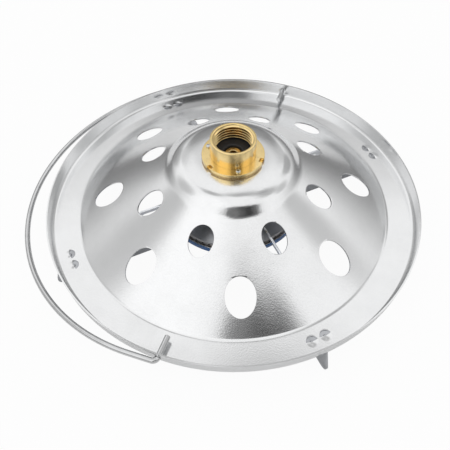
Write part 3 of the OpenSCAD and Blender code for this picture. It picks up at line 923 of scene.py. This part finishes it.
class BURNER_OT_dish(Operator):
    """Presses the dish with its hub, its two rings of vents, its clinch buttons and its pierced rim"""
    bl_idname = "burner.dish"
    bl_label = "Vented dish"

    def execute(self, context):
        s = context.scene.gas_burner.dish
        flange_z = s.under_z + s.sheet
        foot_r = s.rim_r - s.flange_w
        rim_top = s.under_z + s.rim_h
        crease_z = s.hub_top - s.hub_rise
        bm = wire([
            (s.hub_hole_r, s.hub_top, 0),
            (s.hub_seat_r, s.hub_top, s.hub_seat_round),
            (s.hub_r - (s.hub_rise - s.hub_fall) / tan(s.hub_side), s.hub_top - s.hub_fall, s.hub_round),
            (s.hub_r, crease_z, s.hub_round),
            (foot_r, flange_z, s.foot_round),
            (s.rim_r - s.sheet - s.rim_flare, flange_z, s.press_r),
            (s.rim_r - s.sheet, rim_top, 0),
        ])
        slope = (crease_z - flange_z) / (foot_r - s.hub_r)
        cone = edge_at(bm, s.vent_border_r, flange_z + slope * (foot_r - s.vent_border_r))
        flange = edge_at(bm, s.button_ring_r, flange_z)
        rim = edge_at(bm, s.rim_r - s.sheet, s.pivot_z)
        cone_start, cone_end = circles_of(cone)
        flange_start, flange_end = circles_of(flange)
        rim_start, rim_end = circles_of(rim)
        spin_all_but(bm, [cone, flange, rim], DISH_STEPS)
        self.cone(bm, s, cone_start, cone_end)
        self.flange(bm, s, flange_start, flange_end)
        self.rim(bm, s, rim_start, rim_end)
        thicken(bm, s.sheet, upwards, s.edge)
        make_piece(bm, "vented_dish", satin_steel, ["dish"])
        return {"FINISHED"}

    def cone(self, bm, s, start, end):
        """Two rings of vents, one between the other."""
        share = (s.vent_border_r - start[0]) / (end[0] - start[0])
        border = tuple(Vector(start).lerp(Vector(end), share))
        stretch = (Vector(end) - Vector(start)).length / (end[0] - start[0])
        step = 2 * pi / s.vent_count
        columns = DISH_STEPS // s.vent_count
        for low, high, vent_r, vent_w, first, rows in (
                (start, border, s.inner_vent_r, s.inner_vent_w, 0, INNER_VENT_ROWS),
                (border, end, s.outer_vent_r, s.outer_vent_w, step / 2, OUTER_VENT_ROWS)):
            hole = (vent_w, vent_w / cos(s.vent_slant), (vent_r - low[0]) * stretch)
            ring_of_cells(bm, low, high, s.vent_count, first, columns, rows, hole)

    def flange(self, bm, s, start, end):
        """The flat ring, with two buttons over the tabs of each support."""
        cells = DISH_STEPS // BUTTON_COLUMNS
        step = 2 * pi / cells
        beside = {round((turn + side * step / 2 - step / 2) / step)
                  for turn in SUPPORT_ANGLES for side in (-1, 1)}
        shares = [1 - k / (DOME_STEPS + 1) for k in range(1, DOME_STEPS + 1)]
        dome = [(share, s.button_h * (1 + cos(pi * share)) / 2) for share in shares]
        hole = (2 * s.button_r, 2 * s.button_r, s.button_ring_r - start[0])
        ring_of_cells(bm, start, end, cells, step / 2, BUTTON_COLUMNS, BUTTON_ROWS, hole,
                      lambda index: index in beside, dome)

    def rim(self, bm, s, start, end):
        """The rim wall, with a pivot hole at each end of the Y axis."""
        cells = DISH_STEPS // PIVOT_COLUMNS
        at = (s.pivot_z - start[1]) / (end[1] - start[1]) * (Vector(end) - Vector(start)).length
        hole = (2 * s.pivot_hole_r, 2 * s.pivot_hole_r, at)
        ring_of_cells(bm, start, end, cells, 0, PIVOT_COLUMNS, PIVOT_ROWS, hole,
                      lambda index: index in (cells // 4, 3 * cells // 4))


class BURNER_OT_supports(Operator):
    """Folds the four pot supports, with the tabs that are clinched under the flange"""
    bl_idname = "burner.supports"
    bl_label = "Pot supports"

    def execute(self, context):
        s = context.scene.gas_burner.support
        ring_r = context.scene.gas_burner.dish.button_ring_r
        for number, turn in enumerate(SUPPORT_ANGLES, 1):
            bm = self.fin(s)
            for side in (1, -1):
                add(bm, self.tab(s, ring_r, side))
            rotate(bm, turn)
            make_piece(bm, f"support_blade_{number}", bright_sheet, [f"pot_support_{number}"])
        return {"FINISHED"}

    def fin(self, s):
        """Two leaves folded flat on each other along the pan rest, with a seam round the other sides."""
        bm = wire([
            (s.inner_r, 0, s.bend_r),
            (s.reach_r, 0, s.corner_r),
            (s.shelf_end, s.shelf_z, 0),
            (s.shelf_r, s.shelf_z, 0),
            (s.crown_r, s.crown_z, 0),
            (s.finger_r, s.crown_z, s.finger_round),
            (s.finger_r, s.finger_z, s.finger_round),
            (s.crown_r, s.finger_z, s.bend_r),
            (s.crown_r, s.rest_z, s.bend_r),
            (s.inner_r, s.rest_z, s.bend_r),
        ], closed=True)
        bmesh.ops.edgeloop_fill(bm, edges=bm.edges[:])
        plate(bm, (0, s.leaf, 0))

        def on_rest(edge):
            return all(vert.co.z < MERGE for vert in edge.verts)

        def outside(edge):
            return all(vert.co.y > s.leaf - MERGE for vert in edge.verts)

        def inside(edge):
            return all(vert.co.y < MERGE for vert in edge.verts)

        soften(bm, s.seam, 1, chosen=lambda edge: inside(edge) and not on_rest(edge))
        soften(bm, s.edge, 2, chosen=lambda edge: outside(edge) and not on_rest(edge))
        soften(bm, s.fold_r, 4, chosen=lambda edge: outside(edge) and on_rest(edge))
        seam_faces = [face for face in bm.faces if all(vert.co.y < MERGE for vert in face.verts)]
        bmesh.ops.delete(bm, geom=seam_faces, context="FACES")
        add_mirrored(bm)
        return bm

    def tab(self, s, ring_r, side):
        """A tab bent out from one leaf, with a peg pressed up into its button."""
        bend = s.leaf + s.fold_r
        width = s.tab_w - bend
        hole = (2 * s.peg_r, 2 * s.peg_r, s.peg_at - bend)
        bm = holed_cell(s.tab_l, width, TAB_COLUMNS, TAB_ROWS, hole, lambda y: 1)
        peg = [(0.92, 0.12 * MM), (0.85, s.peg_h - 0.2 * MM), (0.7, s.peg_h), (0.1, s.peg_h)]
        raise_crown(bm, hole, peg)
        for end in (-1, 1):
            self.round_corner(bm, Vector((end * (s.tab_l / 2 - s.bend_r), width - s.bend_r, 0)), end)
        root = [edge for edge in bm.edges if all(vert.co.y < MERGE for vert in edge.verts)]
        bmesh.ops.spin(bm, geom=ends_of(root) + root, cent=(0, 0, -bend), axis=(1, 0, 0), angle=pi / 2,
                       steps=ROUND_STEPS)
        thicken(bm, s.leaf, upwards, s.edge)
        move(bm, (ring_r, bend, s.shelf_z))
        if side < 0:
            bmesh.ops.scale(bm, vec=(1, -1, 1), verts=bm.verts[:])
            bmesh.ops.reverse_faces(bm, faces=bm.faces[:])
        return bm

    def round_corner(self, bm, middle, end):
        """Draws the square corner of a tab in to a quarter round about a middle."""
        for vert in bm.verts:
            out = vert.co - middle
            out.x *= end
            if out.x > 0 and out.y > 0 and vert.co.z < MERGE:
                share = max(out.x, out.y) / out.length
                vert.co = middle + Vector((out.x * end, out.y, 0)) * share


class BURNER_OT_handle(Operator):
    """Bends the wire handle, whose legs turn in the rim"""
    bl_idname = "burner.handle"
    bl_label = "Carrying handle"

    def execute(self, context):
        s = context.scene.gas_burner.handle
        pivot_z = context.scene.gas_burner.dish.pivot_z
        bm = bmesh.new()
        place = Matrix.Translation((0, s.leg_end, 0)) @ Matrix.Rotation(pi / 2, 4, "X")
        tip = bmesh.ops.create_circle(bm, cap_ends=True, segments=WIRE_STEPS, radius=s.wire_r, matrix=place)
        bend_y = s.arm_y - s.bend_r
        loop = self.drawn(bm, edges_of(tip["verts"]), (0, bend_y - s.leg_end, 0))
        loop = self.bent(bm, loop, (-s.bend_r, bend_y, 0), BEND_STEPS)
        loop = self.drawn(bm, loop, (s.bend_r - s.arm_l, 0, 0))
        self.bent(bm, loop, (-s.arm_l, 0, 0), HANDLE_STEPS)
        soften(bm, s.tip, 4)
        add_mirrored(bm)
        rotate(bm, -s.sag, "Y")
        move(bm, (0, 0, pivot_z))
        make_piece(bm, "handle_wire_loop", drawn_wire, ["carrying_handle"], "handle")
        return {"FINISHED"}

    def drawn(self, bm, loop, way):
        """Draws a loop out along a straight, and gives the loop at its end."""
        verts, end = draw_out(bm, loop)
        bmesh.ops.translate(bm, vec=way, verts=verts)
        return end

    def bent(self, bm, loop, middle, steps):
        """Bends a loop through a right angle, and gives the loop at its end."""
        made = bmesh.ops.spin(bm, geom=ends_of(loop) + loop, cent=middle, axis=AXIS, angle=pi / 2, steps=steps)
        return [item for item in made["geom_last"] if isinstance(item, bmesh.types.BMEdge)]


class BURNER_OT_inlet(Operator):
    """Turns the brass collar with its thread, and its washer, ring nut, lock screws and seal"""
    bl_idname = "burner.inlet"
    bl_label = "Gas inlet"

    def execute(self, context):
        s = context.scene.gas_burner.inlet
        dish = context.scene.gas_burner.dish
        make_piece(self.collar(s, dish), "brass_collar", aged_brass, ["inlet_collar"])
        washer = lathe([
            (dish.hub_hole_r, dish.hub_top, 0),
            (s.washer_r, dish.hub_top, s.edge / 2),
            (s.washer_r, s.washer_z, s.edge),
            (dish.hub_hole_r, s.washer_z, 0),
        ])
        make_piece(washer, "brass_washer", aged_brass, ["collar_washer"])
        make_piece(self.nut(s, dish.hub_hole_r), "notched_nut", aged_brass, ["ring_nut"])
        make_piece(self.pins(s), "lock_pins", plated_zinc, ["lock_screws"])
        seal = lathe([
            (s.seal_hole_r, s.seat_z, s.seal_lip),
            (s.seal_r, s.seat_z, s.edge),
            (s.seal_r, s.seal_top, s.edge),
            (s.seal_hole_r, s.seal_top, s.seal_lip),
        ])
        make_piece(seal, "rubber_seal", moulded_rubber, ["inlet_seal"])
        return {"FINISHED"}

    def collar(self, s, dish):
        hub_under = dish.hub_top - dish.sheet
        bm = lathe([
            (s.stem_r, s.spigot_z, 0),
            (s.spigot_r, s.spigot_z, s.edge),
            (s.spigot_r, hub_under, 0),
            (s.collar_r, hub_under, 0),
            (s.collar_r, s.mouth_z, s.lip),
            (s.bore_r, s.mouth_z, s.lip),
            (s.bore_r, s.seal_top, 0),
            (s.seal_r, s.seal_top, 0),
            (s.seal_r, s.seat_z, 0),
            (s.stem_r, s.seat_z, 0),
        ])
        add(bm, hexagon(s.hex_w, s.spigot_r, hub_under - s.hex_h, s.hex_h, s.edge))
        add(bm, self.thread(s))
        return bm

    def thread(self, s):
        """A left-hand ridge that winds up the bore and is cut off at the mouth."""
        root_r = s.bore_r + s.edge / 2
        half = s.pitch * THREAD_FOOT
        crest = s.crest_w / 2
        bm = wire([
            (root_r, -half, 0),
            (s.crest_r, -crest, crest / 2),
            (s.crest_r, crest, crest / 2),
            (root_r, half, 0),
        ], closed=True)
        move(bm, AXIS * (s.seal_top + half))
        steps = round(s.thread_turns * THREAD_STEPS)
        bmesh.ops.spin(bm, geom=bm.verts[:] + bm.edges[:], cent=ORIGIN, axis=AXIS, steps=steps,
                       angle=-2 * pi * steps / THREAD_STEPS, dvec=AXIS * (s.pitch / THREAD_STEPS))
        bmesh.ops.bisect_plane(bm, geom=whole(bm), dist=MERGE, plane_no=AXIS,
                               plane_co=AXIS * (s.mouth_z - s.lip * THREAD_END), clear_outer=True)
        fill_in(bm)
        close_seams(bm)
        rotate(bm, THREAD_START)
        return bm

    def nut(self, s, hole_r):
        """A flat ring with square notches in its edge."""
        floor_r = s.nut_r - s.notch_depth
        step = 2 * pi / NUT_STEPS
        bm = bmesh.new()
        rings = [circle_edges(bm, NUT_STEPS, radius) for radius in (hole_r, floor_r, s.nut_r)]
        for pair in zip(rings, rings[1:]):
            bmesh.ops.bridge_loops(bm, edges=pair[0] + pair[1])
        for index in range(s.notch_count):
            turn = Matrix.Rotation(2 * pi * index / s.notch_count, 3, "Z")
            back = turn.inverted()
            cut = []
            for face in bm.faces:
                at = back @ face.calc_center_median()
                if at.x > floor_r - MERGE and abs(at.y) < s.notch_w / 2:
                    cut.append(face)
            bmesh.ops.delete(bm, geom=cut, context="FACES")
            for vert in bm.verts:
                at = back @ vert.co
                way = Vector((1, 0)).angle_signed(at.xy) / (step * NOTCH_STEPS)
                if abs(vert.co.length - floor_r) < MERGE and abs(way) < 1 + MERGE:
                    vert.co = turn @ Vector((floor_r, -way * s.notch_w / 2, 0))
        plate(bm, AXIS * (s.nut_z - s.washer_z))

        def off_hole(edge):
            return max(vert.co.xy.length for vert in edge.verts) > hole_r + MERGE

        soften(bm, s.edge, 3, chosen=off_hole)
        move(bm, AXIS * s.washer_z)
        return bm

    def pins(self, s):
        """Small domed lock screws between the notches."""
        bm = bmesh.new()
        for index in range(s.notch_count):
            turn = 2 * pi * (index + 0.5) / s.notch_count
            pin = lathe([
                (0, s.washer_z, 0),
                (s.pin_r, s.washer_z, 0),
                (s.pin_r, s.pin_z, s.pin_r * PIN_ROUND),
                (0, s.pin_z, 0),
            ], PIN_STEPS)
            move(pin, (s.pin_ring_r * cos(turn), s.pin_ring_r * sin(turn), 0))
            add(bm, pin)
        return bm


class BURNER_OT_jet(Operator):
    """Turns the sleeve in the inlet and the jet that it holds"""
    bl_idname = "burner.jet"
    bl_label = "Jet and sleeve"

    def execute(self, context):
        s = context.scene.gas_burner.inlet
        socket_top = s.spigot_z + s.socket_l
        sleeve = lathe([
            (s.socket_r, s.spigot_z, 0),
            (s.sleeve_r, s.spigot_z, s.edge),
            (s.sleeve_r, s.seat_z, 0),
            (s.sleeve_head_r, s.seat_z, 0),
            (s.sleeve_head_r, s.sleeve_top, s.edge),
            (s.passage_r, s.sleeve_top, s.edge),
            (s.passage_r, socket_top, 0),
            (s.socket_r, socket_top, 0),
        ])
        make_piece(sleeve, "jet_sleeve", aged_brass, ["jet_holder"])
        hex_z = s.spigot_z - s.jet_hex_h
        jet = lathe([
            (s.jet_hole_r, s.jet_tip, 0),
            (s.jet_tip_r, s.jet_tip, s.edge / 2),
            (s.jet_nose_r, hex_z, 0),
            (s.jet_thread_r, s.spigot_z, 0),
            (s.jet_thread_r, s.jet_top, s.edge),
            (s.jet_bore_r, s.jet_top, 0),
            (s.jet_bore_r, hex_z, 0),
            (s.jet_hole_r, hex_z, 0),
        ], PIN_STEPS * 2)
        add(jet, hexagon(s.jet_hex_w, s.jet_bore_r, hex_z, s.jet_hex_h, s.edge / 2))
        make_piece(jet, "jet_nozzle", aged_brass, ["gas_jet"])
        return {"FINISHED"}


class BURNER_OT_head(Operator):
    """Presses the burner head: the mixing tube, the bowl with its ports and the crimped cap"""
    bl_idname = "burner.head"
    bl_label = "Burner head"

    def execute(self, context):
        s = context.scene.gas_burner.burner
        make_piece(self.tube(s), "air_tube", heated_steel, ["mixing_tube"])
        make_piece(self.bowl(s), "flame_bowl", heated_steel, ["burner_bowl"])
        make_piece(self.cap(s), "flame_cap", blue_enamel, ["burner_cap"])
        return {"FINISHED"}

    def tube(self, s):
        bm = bmesh.new()
        hole = (2 * s.air_hole_r, 2 * s.air_hole_r, s.air_hole_z - s.tube_end)
        start, end = (s.tube_r, s.tube_end), (s.tube_r, s.tube_top)
        ring_of_cells(bm, start, end, s.air_holes, 0, AIR_COLUMNS, AIR_ROWS, hole)
        thicken(bm, s.tube_wall, outwards, s.edge)
        return bm

    def bowl(self, s):
        bm = wire([
            (s.neck_r, s.neck_top, 0),
            (s.neck_r, s.neck_foot, s.press_r),
            (s.shoulder_r, s.shoulder_z, s.shoulder_round),
            (s.wall_r, s.wall_top, s.wall_round),
            (s.wall_r, s.lip_z, 0),
            (s.lip_r, s.lip_z, 0),
        ])
        wall = edge_at(bm, s.wall_r, s.port_z)
        start, end = circles_of(wall)
        spin_all_but(bm, [wall], s.ports * PORT_COLUMNS)
        hole = (2 * s.port_r, 2 * s.port_r, s.port_z - start[1])
        ring_of_cells(bm, start, end, s.ports, 0, PORT_COLUMNS, PORT_ROWS, hole)
        thicken(bm, s.sheet, upwards, s.edge)
        return bm

    def cap(self, s):
        bm = wire([
            (0, s.cap_z, 0),
            (s.cap_slope_r, s.cap_z, s.press_r),
            (s.cap_seat_r, s.cap_seat_z, s.press_r),
            (s.cap_r, s.cap_seat_z, s.crimp_round / 3),
            (s.cap_r, s.crimp_z, s.crimp_round),
            (s.crimp_in_r, s.crimp_z, 0),
        ])
        spin_all_but(bm, [], TURNED_STEPS)
        thicken(bm, s.sheet, downwards, s.edge)
        return bm


# Stage

class BURNER_OT_stage(Operator):
    """Sets the camera, the soft white surroundings and the pale floor"""
    bl_idname = "burner.stage"
    bl_label = "Stage"

    def execute(self, context):
        scene = context.scene
        s = scene.gas_burner.stage
        scene.view_settings.view_transform = "Standard"
        self.camera(scene, s)
        self.world(scene)
        self.floor(scene, s)
        return {"FINISHED"}

    def camera(self, scene, s):
        camera = bpy.data.objects.new("camera", bpy.data.cameras.new("camera"))
        camera.data.sensor_width = SENSOR_MM
        camera.data.lens = s.focal_mm
        place = Vector(s.camera_place)
        look = (Vector(s.camera_aim) - place).to_track_quat("-Z", "Y")
        camera.location = place
        camera.rotation_euler = (look @ Quaternion(AXIS, s.camera_roll)).to_euler()
        scene.collection.objects.link(camera)
        scene.camera = camera

    def world(self, scene):
        """A white tent, dimmer towards the horizon, with soft dark gaps and two brighter panels."""
        scene.world = bpy.data.worlds.new("white_tent")
        scene.world.use_nodes = True
        nodes = Nodes(scene.world.node_tree)
        way = nodes.add("ShaderNodeTexCoord", output="Generated")
        level = TENT_LOW + nodes.step(nodes.parts(way)[2], 0, TENT_FULL) * TENT_GAIN
        for azimuth, elevation, inner, outer, gain in TENT_PATCHES:
            aim = Vector((cos(radians(elevation)), 0, sin(radians(elevation))))
            aim.rotate(Quaternion(AXIS, radians(azimuth)))
            near = nodes.add("ShaderNodeVectorMath", {"operation": "DOT_PRODUCT"}, {0: way, 1: aim}, "Value")
            level = level * (1 + nodes.step(near, cos(radians(outer)), cos(radians(inner))) * gain)
        seen = nodes.add("ShaderNodeLightPath", output="Is Camera Ray")
        backdrop = nodes.tree.nodes["Background"]
        nodes.feed(backdrop.inputs["Strength"], level + seen * (1 - level))
        nodes.feed(backdrop.inputs["Color"], (1, 1, 1, 1))

    def floor(self, scene, s):
        """A pale floor that takes a shadow, nearly plain white to the camera and partly so in reflections."""
        bm = bmesh.new()
        bmesh.ops.create_circle(bm, cap_ends=True, segments=FLOOR_STEPS, radius=s.floor_r)
        mesh = bpy.data.meshes.new("floor")
        bm.to_mesh(mesh)
        bm.free()
        floor = bpy.data.objects.new("floor", mesh)
        scene.collection.objects.link(floor)
        finish = Finish("pale_floor")
        finish.surface({"Base Color": scene.gas_burner.colours.floor, "Roughness": 0.8})
        seen = finish.add("ShaderNodeLightPath", output="Is Camera Ray") * FLOOR_WHITE
        for ray in ("Is Glossy Ray", "Is Transmission Ray"):
            seen = seen + finish.add("ShaderNodeLightPath", output=ray) * FLOOR_GLOSS
        glow = finish.add("ShaderNodeEmission", None, {"Color": (1, 1, 1, 1), "Strength": 1.0})
        paint = Socket(finish, finish.shader.outputs["BSDF"])
        mixed = finish.add("ShaderNodeMixShader", None, {0: seen, 1: paint, 2: glow})
        finish.feed(finish.tree.nodes["Material Output"].inputs["Surface"], mixed)
        mesh.materials.append(finish.material)


PIECES = (BURNER_OT_dish, BURNER_OT_supports, BURNER_OT_handle, BURNER_OT_inlet, BURNER_OT_jet, BURNER_OT_head)


class BURNER_PT_panel(Panel):
    """Lists the burner's pieces and their sizes"""
    bl_idname = "BURNER_PT_panel"
    bl_label = "Gas burner"
    bl_space_type = "VIEW_3D"
    bl_region_type = "UI"
    bl_category = "Burner"

    def draw(self, context):
        for piece in (*PIECES, BURNER_OT_stage):
            self.layout.operator(piece.bl_idname)
        settings = context.scene.gas_burner
        for group in ("dish", "support", "handle", "inlet", "burner", "colours", "stage"):
            box = self.layout.box()
            box.label(text=group.capitalize())
            sizes = getattr(settings, group)
            for name in sizes.__annotations__:
                box.prop(sizes, name)


CLASSES = (DishSizes, SupportSizes, HandleSizes, InletSizes, BurnerSizes, FinishColours, StageSizes,
           BurnerSettings, *PIECES, BURNER_OT_stage, BURNER_PT_panel)


def register():
    for kind in CLASSES:
        bpy.utils.register_class(kind)
    bpy.types.Scene.gas_burner = PointerProperty(type=BurnerSettings)


def unregister():
    del bpy.types.Scene.gas_burner
    for kind in reversed(CLASSES):
        bpy.utils.unregister_class(kind)


def main():
    register()
    bpy.ops.burner.stage()
    bpy.ops.burner.dish()
    bpy.ops.burner.supports()
    bpy.ops.burner.handle()
    bpy.ops.burner.inlet()
    bpy.ops.burner.jet()
    bpy.ops.burner.head()


if __name__ == "__main__":
    main()
